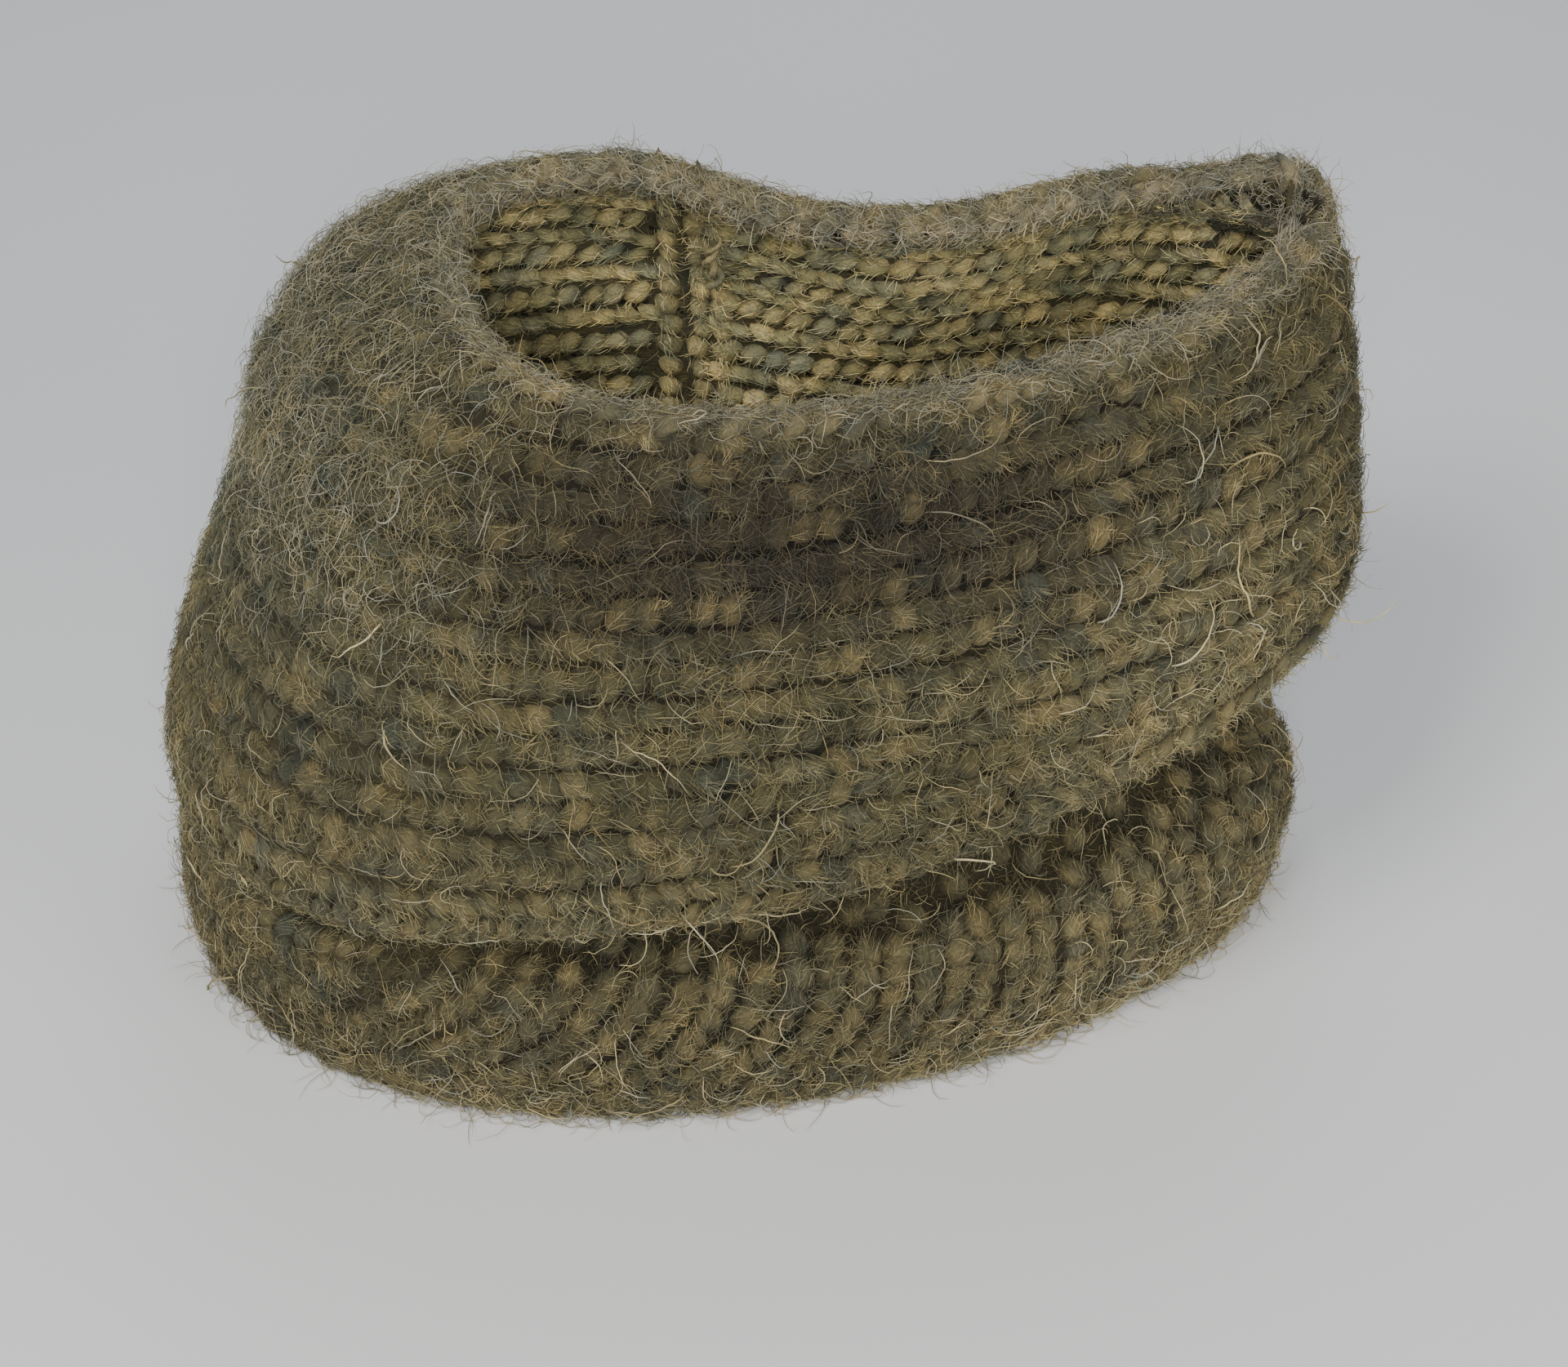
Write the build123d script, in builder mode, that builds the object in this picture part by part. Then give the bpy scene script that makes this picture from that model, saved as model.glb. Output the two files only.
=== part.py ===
from build123d import *
import os
from collections import namedtuple
from math import copysign, cos, exp, hypot, pi, radians, sin, tau

# A thick knitted wool neck warmer: one tube of ridged knitting that stands on a table with its
# mouth up. It has slouched, so the upper tube folds over the lower collar at the front and right.
# The knitted wall is divided into its ridges, one node each, cut where the two ends of the
# knitted strip meet, and the seam yarn fills that cut.

# ---- driving dimensions, millimetres ----
WALL = 7.0                 # wall at the crest of a ridge
GROOVE = 1.3               # how far the groove between two ridges goes in, on either face
EDGE_ROUND = 1.6           # how far the outer and inner faces draw in at the two free edges
EDGE_HEIGHT = 5.0          # the bound edge at the mouth, and the cast-on edge at the bottom
FOLD_GAP = 0.5             # clear space in the fold, between the collar and the upper tube
SEAM_X = -12.0             # the seam lies in the back wall, left of the middle
SEAM_WIDTH = 5.0
SLOT_FRONT = 20.0          # the cut for the seam starts here, inside the mouth, and goes back
SLOT_DEPTH = 120.0
SLOT_HEIGHT = 400.0
DENT_X = 20.0              # the back wall caves in here
DENT_LEFT = 21.0           # reach of the cave-in to the left and to the right
DENT_RIGHT = 34.0
TURN = 3.0                 # the flattened tube lies turned by this much, degrees
YARN = 3.2                 # diameter of the yarn, seen at its woven-in ends
TAIL_LENGTH = 18.0
TAIL_CLEAR = 1.6           # between the inner face and a woven-in end
TAIL_LEVELS = 2            # the levels that a woven-in end passes
CENTRE_X, CENTRE_Y = 0.0, 2.5   # middle of the whole object's box, so that the origin sits under it
OUTLINE_POINTS = 20        # a ridge's outline is a smooth curve through this many points
SEARCH_STEPS = 360         # how finely the back wall is searched for a place on it

COLLAR_RIDGES = 4          # ridges below the fold
TUBE_RIDGES = 8            # ridges above the fold's lip
FOLD_LEVEL = 5             # where the collar ends and the fold's lip begins
LIP_LEVEL = 6.2            # where the lip ends
TOP_LEVEL = 16             # where the last ridge ends

# One line per level at which the tube changes shape: the level, its height at the middle, how it
# slopes up to the right, the middle of its outline, the outline's half width and its half depths
# to the front and back, how square its corners are, how much deeper its left end is than its
# right, how far its two ends bend to the back, and how far the back wall caves in.
Station = namedtuple("Station", "level z slope cx cy half front back corner egg bow dent")
STATIONS = [
    Station(0, 5, 0.000, -3, 2, 107, 70, 71, 2.1, 0.15, 0, 0),
    Station(2, 16, 0.020, -3, 3, 107, 70, 70, 2.1, 0.15, 0, 0),
    Station(4, 29, 0.050, -6, 5, 103, 66, 66, 2.1, 0.13, 0, 2),
    Station(5, 35, 0.070, -10, 8, 97, 60, 61, 2.1, 0.12, 0, 3),
    Station(6, 40, 0.080, -2, 5, 108, 69, 66, 2.15, 0.12, 0, 4),
    Station(7, 49, 0.065, 0, 6, 110, 69, 65, 2.2, 0.14, 1, 6),
    Station(9, 66, 0.055, 4, 9, 108, 66, 62, 2.25, 0.16, 2, 10),
    Station(12, 93, 0.040, 10, 14, 101, 58, 56, 2.3, 0.23, 6, 15),
    Station(14, 108.5, 0.025, 11, 18, 97, 51, 48, 2.45, 0.28, 10, 20),
    Station(15, 117, 0.018, 17, 20, 90, 48, 42, 2.5, 0.31, 12, 20),
    Station(16, 123.5, 0.010, 24.5, 20, 80, 43, 34, 2.45, 0.31, 12, 20),
]


def station_at(level):
    """The tube's shape at any level, between the two stations on either side of it."""
    for low, high in zip(STATIONS, STATIONS[1:]):
        if level <= high.level:
            break
    share = (level - low.level) / (high.level - low.level)
    return Station(*(a + (b - a) * share for a, b in zip(low, high)))


def outline_point(station, angle):
    """A point of the outer outline, on a rounded, egg-shaped oval with a cave-in at the back."""
    power = 2 / station.corner
    across = copysign(abs(cos(angle)) ** power, cos(angle))
    along = copysign(abs(sin(angle)) ** power, sin(angle))
    depth = station.front if along < 0 else station.back
    x = station.half * across
    y = depth * along * (1 - station.egg * across) + station.bow * across**2
    off_dent = station.cx + x - DENT_X
    reach = DENT_LEFT if off_dent < 0 else DENT_RIGHT
    y -= station.dent * exp(-((off_dent / reach) ** 2)) * max(sin(angle), 0)
    turned = radians(TURN)
    return (
        station.cx + x * cos(turned) - y * sin(turned) - CENTRE_X,
        station.cy + x * sin(turned) + y * cos(turned) - CENTRE_Y,
    )


def outline(station, inset):
    """The outline's points, moved inwards by inset."""
    points = []
    step = 1e-3
    for number in range(OUTLINE_POINTS):
        angle = tau * (number + 0.5) / OUTLINE_POINTS
        x, y = outline_point(station, angle)
        x0, y0 = outline_point(station, angle - step)
        x1, y1 = outline_point(station, angle + step)
        length = hypot(x1 - x0, y1 - y0)
        points.append((x - inset * (y1 - y0) / length, y + inset * (x1 - x0) / length))
    return points


def level_plane(station, lift=0.0):
    """The plane of a level, which slopes up to the right."""
    slope = station.slope
    return Plane(origin=(0, 0, station.z + lift), x_dir=(1, 0, slope), z_dir=(-slope, 0, 1))


def ring(sections):
    """A closed band of wall. Each section is its station, its lift and its two insets."""
    with BuildPart() as band:
        for face in (0, 1):
            for station, lift, *insets in sections:
                with BuildSketch(level_plane(station, lift)):
                    with BuildLine():
                        Spline(*outline(station, insets[face]), periodic=True)
                    make_face()
            loft(mode=Mode.SUBTRACT if face else Mode.ADD)
    return band.part


def ridge(start, end, gap_below=0.0):
    """One ridge of knitting: it swells on both faces between the grooves at its two edges."""
    low, middle, high = (station_at(level) for level in (start, (start + end) / 2, end))
    return ring([
        (low, gap_below, GROOVE, WALL - GROOVE),
        (middle, 0.0, 0.0, WALL),
        (high, 0.0, GROOVE, WALL - GROOVE),
    ])


def free_edge(station, sign):
    """The rounded edge band above the last ridge (sign 1) or below the first (sign -1)."""
    return ring([
        (station, 0.0, GROOVE, WALL - GROOVE),
        (station, sign * EDGE_HEIGHT * 0.5, 0.0, WALL),
        (station, sign * EDGE_HEIGHT, EDGE_ROUND, WALL - EDGE_ROUND),
    ])


def seam_slot():
    """The upright slot in the back wall where the two ends of the strip meet."""
    placing = (Align.CENTER, Align.MIN, Align.CENTER)
    return Box(SEAM_WIDTH, SLOT_DEPTH, SLOT_HEIGHT, align=placing).moved(
        Location((SEAM_X - CENTRE_X, SLOT_FRONT, 0))
    )


def write(part, name):
    part.label = name
    export_step(part, f"parts/{name}.step")


os.makedirs("parts", exist_ok=True)
SLOT = seam_slot()

# ---- the closed bands, from the bottom up, each with its name ----
collar_bands = {"cast_on_edge": free_edge(station_at(0), -1)}
step = FOLD_LEVEL / COLLAR_RIDGES
for count in range(COLLAR_RIDGES):
    collar_bands[f"collar_ridge_{count + 1}"] = ridge(count * step, (count + 1) * step)

upper_bands = {"fold_lip": ridge(FOLD_LEVEL, LIP_LEVEL, gap_below=FOLD_GAP)}
step = (TOP_LEVEL - LIP_LEVEL) / TUBE_RIDGES
for count in range(TUBE_RIDGES):
    start = LIP_LEVEL + count * step
    upper_bands[f"tube_ridge_{count + 1}"] = ridge(start, start + step)
upper_bands["bound_edge"] = free_edge(station_at(TOP_LEVEL), 1)

# ---- each band is open at the seam, and the seam yarn closes it ----
for bands, seam_name in ((collar_bands, "seam_yarn_collar"), (upper_bands, "seam_yarn_tube")):
    for name, band in bands.items():
        with BuildPart() as strip:
            add(band)
            add(SLOT, mode=Mode.SUBTRACT)
        write(strip.part, name)
    with BuildPart() as seam:
        for band in bands.values():
            add(band)
        add(SLOT, mode=Mode.INTERSECT)
    write(seam.part, seam_name)


def wall_inside(level, x):
    """A point of the inner face of the back wall at this level, near x."""
    station = station_at(level)
    nearest = min(
        (outline_point(station, pi * n / SEARCH_STEPS) for n in range(SEARCH_STEPS + 1)),
        key=lambda point: abs(point[0] - x),
    )
    return x, nearest[1] - WALL, station.z + station.slope * x


def woven_tail(level, x):
    """The end of the yarn, darned into the inside of the wall beside the seam."""
    clear = YARN / 2 + TAIL_CLEAR
    foot = Vector(*wall_inside(level, x)) - Vector(0, clear, 0)
    head = Vector(*wall_inside(level + TAIL_LEVELS, x)) - Vector(0, clear, 0)
    with BuildPart() as tail:
        with BuildSketch(Plane(origin=foot, z_dir=(head - foot).normalized())):
            Circle(YARN / 2)
        extrude(amount=TAIL_LENGTH)
        fillet(tail.edges(), YARN * 0.3)
    return tail.part


tail_x = SEAM_X - CENTRE_X + SEAM_WIDTH
write(woven_tail(0, tail_x), "yarn_tail_bottom")
write(woven_tail(TOP_LEVEL - 4, tail_x), "yarn_tail_top")
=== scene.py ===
"""Looks of the knitted neck warmer: stitches, seam, edges and loose wool fibres on the CAD frame.

The wall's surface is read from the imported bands. The line where one band ends and the next begins
goes once round the tube, and a smooth surface passes through all those lines. Every stitch and
fibre is placed on it by (way, turn). way counts bands along the wall's section: up the outer face,
over the rim, down the inner face and under the bottom edge. turn goes once round the tube from the
seam, from 0 to 1, anticlockwise as seen from above. Lengths are in metres and angles in radians.
"""

import math

import bpy
import numpy as np
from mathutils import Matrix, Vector


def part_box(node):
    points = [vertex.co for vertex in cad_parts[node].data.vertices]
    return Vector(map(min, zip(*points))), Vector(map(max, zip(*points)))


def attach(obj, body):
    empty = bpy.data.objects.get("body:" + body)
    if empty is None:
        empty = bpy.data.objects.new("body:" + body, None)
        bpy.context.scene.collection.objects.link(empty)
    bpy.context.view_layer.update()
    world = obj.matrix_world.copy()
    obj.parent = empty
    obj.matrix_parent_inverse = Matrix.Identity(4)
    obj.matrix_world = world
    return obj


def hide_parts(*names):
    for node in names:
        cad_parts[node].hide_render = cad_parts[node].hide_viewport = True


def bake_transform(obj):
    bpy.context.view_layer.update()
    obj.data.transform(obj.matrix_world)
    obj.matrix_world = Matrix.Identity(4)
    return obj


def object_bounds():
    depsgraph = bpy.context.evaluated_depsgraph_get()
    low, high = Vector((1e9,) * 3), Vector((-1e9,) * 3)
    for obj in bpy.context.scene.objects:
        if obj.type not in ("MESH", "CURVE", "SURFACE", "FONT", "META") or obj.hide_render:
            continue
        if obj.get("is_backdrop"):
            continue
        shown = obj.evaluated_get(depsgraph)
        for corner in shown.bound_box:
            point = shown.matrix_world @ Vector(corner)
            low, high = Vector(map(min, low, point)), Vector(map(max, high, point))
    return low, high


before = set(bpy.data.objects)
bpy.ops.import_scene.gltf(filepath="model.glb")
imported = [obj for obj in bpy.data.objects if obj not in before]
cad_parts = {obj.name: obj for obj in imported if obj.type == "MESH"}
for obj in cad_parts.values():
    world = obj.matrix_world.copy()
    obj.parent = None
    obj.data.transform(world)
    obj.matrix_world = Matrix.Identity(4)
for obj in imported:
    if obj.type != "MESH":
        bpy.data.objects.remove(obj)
CAD_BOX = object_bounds()

# ---- the bands of the CAD frame, from the bottom up ----
COLLAR_BANDS = [f"collar_ridge_{n}" for n in range(1, 5)]
UPPER_BANDS = ["fold_lip"] + [f"tube_ridge_{n}" for n in range(1, 9)]
BANDS = COLLAR_BANDS + UPPER_BANDS
CREASE = len(COLLAR_BANDS)          # the level of the fold, in bands
TOP = len(BANDS)                    # the level of the last groove under the rim
INNER = 2 * TOP + 1                 # the inner face at a level has way INNER - level
LAP = INNER + 1                     # way comes back to its start after this many
SEAM_SPOT = (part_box("seam_yarn_tube")[0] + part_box("seam_yarn_tube")[1]) / 2
SEAM_HALF = (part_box("seam_yarn_tube")[1].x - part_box("seam_yarn_tube")[0].x) / 2
MIDDLE = (CAD_BOX[0] + CAD_BOX[1]) / 2
LEFT = CAD_BOX[0].x

# ---- driving sizes ----
WALL = 0.0070                       # the wall at the crest of a band
GROOVE = 0.0013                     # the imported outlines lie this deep, in the grooves
EDGE = 0.0050                       # height of the bound edge and of the cast-on edge
CORE_DEPTH = 0.0021                 # the core, painted dark as shade, lies this far under the stitches' crests
STITCH = 0.0046                     # from one stitch to the next along its row
LEG_LENGTH = 0.0090
LEG_WIDTH = 0.0037
INNER_LEG = (0.0088, 0.0034)        # length and width of a leg on the inner face
LEG_SLANT = math.radians(40)        # of a stitch's leg against its row
LEG_PAINTED_SHADE = 0.62                     # painted shade: a leg is darker than the fibres that lie on it, as if shaded by them
FULL_BAND = 0.0047                  # half a band's height that a leg of that width fills
SEAM_GIRTH = 0.5                    # round the wall at the seam, to turn metres into turns
COLLAR_GIRTH = 0.51                 # round the collar's outer face
COLLAR_BAND = 0.0098                # height of one of the collar's bands, along the face
ROW_PITCH = 0.0060                  # from one of the collar's slanted rows to the next
ROW_STITCH = 0.0045                 # and from one stitch to the next along such a row
ROW_REACH = 0.075                   # how far such a row would run without the fold
BACK_OF_FOLD = 0.02                 # the fold is tight only in front of this y
ROUND_STEPS = 768                   # how finely the surface is kept, round the tube
BAND_STEPS = 20                     # and in one band

rng = np.random.default_rng(7)


# ======== the surface ========
def smooth(keys, values, at):
    """Values at any places between the keys, on a smooth curve through them."""
    keys, values = np.asarray(keys, float), np.asarray(values, float)
    slopes = np.gradient(values, keys, axis=0)
    i = np.clip(np.searchsorted(keys, at, side="right") - 1, 0, len(keys) - 2)
    span = keys[i + 1] - keys[i]
    t = (np.asarray(at) - keys[i]) / span
    more = (...,) + (None,) * (values.ndim - 1)
    t, span = t[more], span[more]
    return (
        (2 * t**3 - 3 * t**2 + 1) * values[i]
        + (t**3 - 2 * t**2 + t) * span * slopes[i]
        + (3 * t**2 - 2 * t**3) * values[i + 1]
        + (t**3 - t**2) * span * slopes[i + 1]
    )


def ramp(value, low, high):
    """0 below low, 1 above high, and a smooth step between them."""
    t = np.clip((value - low) / (high - low), 0, 1)
    return t * t * (3 - 2 * t)


def end_outline(node):
    """Points round the outer edge of a node's upper end face."""
    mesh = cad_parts[node].data
    flat = [p for p in mesh.polygons if p.normal.z > 0.98]
    spots = np.array([v.co for v in mesh.vertices], float)
    starts = np.array([i for p in flat for i in p.vertices])
    ends = np.array([i for p in flat for i in [*p.vertices[1:], p.vertices[0]]])
    low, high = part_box(node)
    centre = np.array((low + high) / 2)
    used = spots[np.unique(starts)]
    basis = np.column_stack([used[:, 0], used[:, 1], np.ones(len(used))])
    tilt = np.linalg.lstsq(basis, used[:, 2], rcond=None)[0]
    a, b = spots[starts, :2] - centre[:2], spots[ends, :2] - centre[:2]
    angle = np.arange(2 * ROUND_STEPS) * math.tau / (2 * ROUND_STEPS)
    ray = np.column_stack([np.cos(angle), np.sin(angle)])
    ca = ray[:, :1] * a[:, 1] - ray[:, 1:] * a[:, 0]
    cb = ray[:, :1] * b[:, 1] - ray[:, 1:] * b[:, 0]
    crosses = ca * cb < 0
    share = ca / np.where(crosses, ca - cb, 1)
    reach = ray @ a.T + share * (ray @ (b - a).T)
    radius = np.where(crosses, reach, 0).max(1)
    at_seam = np.abs(centre[0] + radius * ray[:, 0] - SEAM_SPOT.x) < SEAM_HALF + WALL / 2
    known = (radius > 0) & ~(at_seam & (ray[:, 1] > 0))
    radius = np.interp(angle, angle[known], radius[known], period=math.tau)
    soften = np.exp(-((np.arange(-8, 9) / 4.0) ** 2))
    padded = np.concatenate([radius[-8:], radius, radius[:8]])
    radius = np.convolve(padded, soften / soften.sum(), mode="valid")
    x, y = centre[0] + radius * ray[:, 0], centre[1] + radius * ray[:, 1]
    seam = np.argmin(np.abs(x - SEAM_SPOT.x) + 10 * (y < centre[1]))
    x, y = np.roll(x, -seam), np.roll(y, -seam)
    return evenly(np.column_stack([x, y, tilt[0] * x + tilt[1] * y + tilt[2]]))


def evenly(line):
    """The closed line again, with ROUND_STEPS points at even distances."""
    closed = np.vstack([line, line[:1]])
    along = np.concatenate([[0], np.cumsum(np.linalg.norm(np.diff(closed, axis=0), axis=1))])
    at = np.arange(ROUND_STEPS) / ROUND_STEPS * along[-1]
    return np.column_stack([np.interp(at, along, closed[:, k]) for k in range(3)])


def outwards(line):
    """The level outward direction at each point of one or more closed lines."""
    along = np.roll(line, -1, axis=-2) - np.roll(line, 1, axis=-2)
    out = np.stack([along[..., 1], -along[..., 0], 0 * along[..., 0]], -1)
    return out / np.linalg.norm(out, axis=-1, keepdims=True)


def facing(points):
    """The outward direction at each point of a grid of ways and turns."""
    round_it = np.roll(points, -1, axis=1) - np.roll(points, 1, axis=1)
    along = np.gradient(points, axis=0)
    out = np.cross(round_it, along)
    return out / np.maximum(np.linalg.norm(out, axis=-1, keepdims=True), 1e-12)


# The fold, by distance from its crease in bands: how far the wall is pushed in, how far it is
# lifted, and how much more of both there is at the right end, where the fold gapes.
FOLD_AT = (-4.0, -1.1, -0.6, -0.25, 0.0, 0.22, 0.5, 0.95, 1.6, 2.4, 9.0)
FOLD_IN = (0.0, 0.0, 0.0015, 0.0060, 0.0100, 0.0085, 0.0025, 0.0003, 0.0, 0.0, 0.0)
FOLD_UP = (0.0, 0.0, 0.0012, 0.0055, 0.0095, 0.0085, 0.0050, 0.0050, 0.0042, 0.0026, 0.0)
LIP_RISE = (0.0, 0.0, 0.0, 0.0010, 0.0040, 0.0080, 0.0110, 0.0115, 0.0090, 0.0050, 0.0)
GAPE = (0.0, 0.0015, 0.0050, 0.0060, 0.0055, 0.0035, 0.0012, 0.0, 0.0, 0.0, 0.0)
FOLD_BEHIND = 0.35                  # how much of the fold there is at the back


def crease_level(x):
    """The level of the crease, which runs down to the bottom edge at the left end."""
    return CREASE * ramp(x, LEFT + 0.012, LEFT + 0.056)


def make_faces():
    """The outer and the inner face as grids of points, from level 0 to TOP, and the crease."""
    lines = np.array([end_outline(node) for node in ["cast_on_edge", *BANDS]])
    lines = lines + outwards(lines) * GROOVE
    levels = np.linspace(0, TOP, TOP * BAND_STEPS + 1)
    plain = smooth(np.arange(TOP + 1), lines, levels)
    x, y = lines[CREASE][:, 0], lines[CREASE][:, 1]
    crease = crease_level(x)
    right, right_end = ramp(x, -0.020, 0.070), ramp(x, 0.050, 0.085)
    front = ramp(0.040 * right_end - y, -0.020, 0.010)
    amount = ramp(x, LEFT + 0.018, LEFT + 0.100)
    amount = amount * (FOLD_BEHIND + (1 - FOLD_BEHIND) * front)
    off = levels[:, None] - crease
    push = (smooth(FOLD_AT, FOLD_IN, off) + smooth(FOLD_AT, GAPE, off) * right_end) * amount
    lip = smooth(FOLD_AT, LIP_RISE, off) * amount * right * (1 + 0.3 * right_end)
    lift = smooth(FOLD_AT, FOLD_UP, off) * amount + lip
    sides = outwards(plain)
    outer = plain - sides * push[..., None] + np.array([0, 0, 1.0]) * lift[..., None]
    # the inner face bulges inwards behind the fold, so that the wall keeps its thickness there
    hump = (0.0085 + 0.006 * right_end) * np.exp(-(((off - 1.3) / 1.3) ** 2)) * amount
    inner = plain - facing(plain) * WALL - sides * hump[..., None]
    return outer, inner, crease


def roll_over(start, end, before, height):
    """Rows of points from one face to the other, over a rounded edge that runs on from it."""
    middle, half = (start + end) / 2, (start - end) / 2
    up = start - before
    up = up / np.linalg.norm(up, axis=1, keepdims=True)
    radius = np.linalg.norm(half, axis=1, keepdims=True)
    shoulder = np.maximum(height - radius, 0)
    rows = []
    for n in range(1, BAND_STEPS):
        angle = math.pi * n / BAND_STEPS
        rows.append(middle + half * math.cos(angle) + up * (shoulder + radius * math.sin(angle)))
    return rows


OUTER, INNER_FACE, CREASE_AT = make_faces()
WALL_GRID = np.array(
    list(OUTER)
    + roll_over(OUTER[-1], INNER_FACE[-1], OUTER[-3], EDGE)
    + list(INNER_FACE[::-1])
    + roll_over(INNER_FACE[0], OUTER[0], INNER_FACE[2], EDGE)
)
WALL_GRID[..., 2] = np.maximum(WALL_GRID[..., 2], 0.0)


def wrapped_facing(grid):
    """facing() for a grid that closes on itself along way as well."""
    return facing(np.concatenate([grid[-1:], grid, grid[:1]]))[1:-1]


FACING_GRID = wrapped_facing(WALL_GRID)


def read_grid(grid, way, turn):
    """Values of a grid at any places, between its points."""
    row = (np.asarray(way) % LAP) * BAND_STEPS
    column = (np.asarray(turn) % 1) * ROUND_STEPS
    r, c = row.astype(int), column.astype(int)
    fr, fc = (row - r)[..., None], (column - c)[..., None]
    r, c = r % len(grid), c % ROUND_STEPS
    r1, c1 = (r + 1) % len(grid), (c + 1) % ROUND_STEPS
    low = grid[r, c] * (1 - fc) + grid[r, c1] * fc
    high = grid[r1, c] * (1 - fc) + grid[r1, c1] * fc
    return low * (1 - fr) + high * fr


def on_wall(way, turn, height=0.0):
    """Points at that height above the stitches' crests."""
    out = read_grid(FACING_GRID, way, turn)
    return read_grid(WALL_GRID, way, turn) + out * np.asarray(height)[..., None]


def stretch(way, turn):
    """Metres for one whole turn, and for one band, at each place."""
    e, f = 0.002, 0.05
    round_it = on_wall(way, turn + e) - on_wall(way, turn - e)
    along = on_wall(way + f, turn) - on_wall(way - f, turn)
    return (
        np.maximum(np.linalg.norm(round_it, axis=-1) / (2 * e), 0.22),
        np.maximum(np.linalg.norm(along, axis=-1) / (2 * f), 0.004),
    )


def turn_at(x, front):
    """The turn at which the crease line passes x, in front or behind."""
    line = OUTER[CREASE * BAND_STEPS]
    half = line[:, 1] < MIDDLE.y if front else line[:, 1] >= MIDDLE.y
    return float(np.argmin(np.abs(line[:, 0] - x) + 10 * ~half)) / ROUND_STEPS


# ======== meshes ========
def make_mesh(name, points, faces, material, tint=None, grain=None):
    """A mesh object from arrays. tint is a colour for each point, and grain runs along a yarn."""
    mesh = bpy.data.meshes.new(name)
    points, faces = np.asarray(points, np.float32), np.asarray(faces, np.int32)
    sides = faces.shape[1]
    mesh.vertices.add(len(points))
    mesh.vertices.foreach_set("co", points.ravel())
    mesh.loops.add(faces.size)
    mesh.loops.foreach_set("vertex_index", faces.ravel())
    mesh.polygons.add(len(faces))
    mesh.polygons.foreach_set("loop_start", np.arange(0, faces.size, sides, dtype=np.int32))
    mesh.update(calc_edges=True)
    mesh.shade_smooth()
    if tint is not None:
        colour = mesh.attributes.new("tint", "FLOAT_COLOR", "POINT")
        rgba = np.column_stack([tint, np.ones(len(tint))]).astype(np.float32)
        colour.data.foreach_set("color", rgba.ravel())
    if grain is not None:
        along = mesh.attributes.new("grain", "FLOAT_VECTOR", "POINT")
        along.data.foreach_set("vector", np.asarray(grain, np.float32).ravel())
    obj = bpy.data.objects.new(name, mesh)
    bpy.context.scene.collection.objects.link(obj)
    mesh.materials.append(material)
    return obj


def tube_faces(rings, sides):
    """Triangles of one closed form: rings of points between two poles, which come last."""
    faces = []
    for r in range(rings - 1):
        for s in range(sides):
            a, b = r * sides + s, r * sides + (s + 1) % sides
            faces += [(a, b, b + sides), (a, b + sides, a + sides)]
    foot, head, last = rings * sides, rings * sides + 1, (rings - 1) * sides
    for s in range(sides):
        faces.append((foot, (s + 1) % sides, s))
        faces.append((head, last + s, last + (s + 1) % sides))
    return np.array(faces)


def repeat_faces(faces, points_each, count):
    """The same faces for every one of count forms."""
    return (faces[None] + np.arange(count)[:, None, None] * points_each).reshape(-1, 3)


# ======== stitches ========
def frame_at(way, turn):
    """At each place: the way the tube runs round, the way the bands climb, and outwards."""
    e, f = 0.003, 0.08
    out = read_grid(FACING_GRID, way, turn)
    out = out / np.linalg.norm(out, axis=-1, keepdims=True)
    ahead = on_wall(way, turn + e) - on_wall(way, turn - e)
    ahead = ahead - (ahead * out).sum(-1, keepdims=True) * out
    ahead = ahead / np.linalg.norm(ahead, axis=-1, keepdims=True)
    climb = np.cross(out, ahead)
    up = on_wall(way + f, turn) - on_wall(way - f, turn)
    return ahead, climb * np.sign((climb * up).sum(-1, keepdims=True)), out


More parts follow.
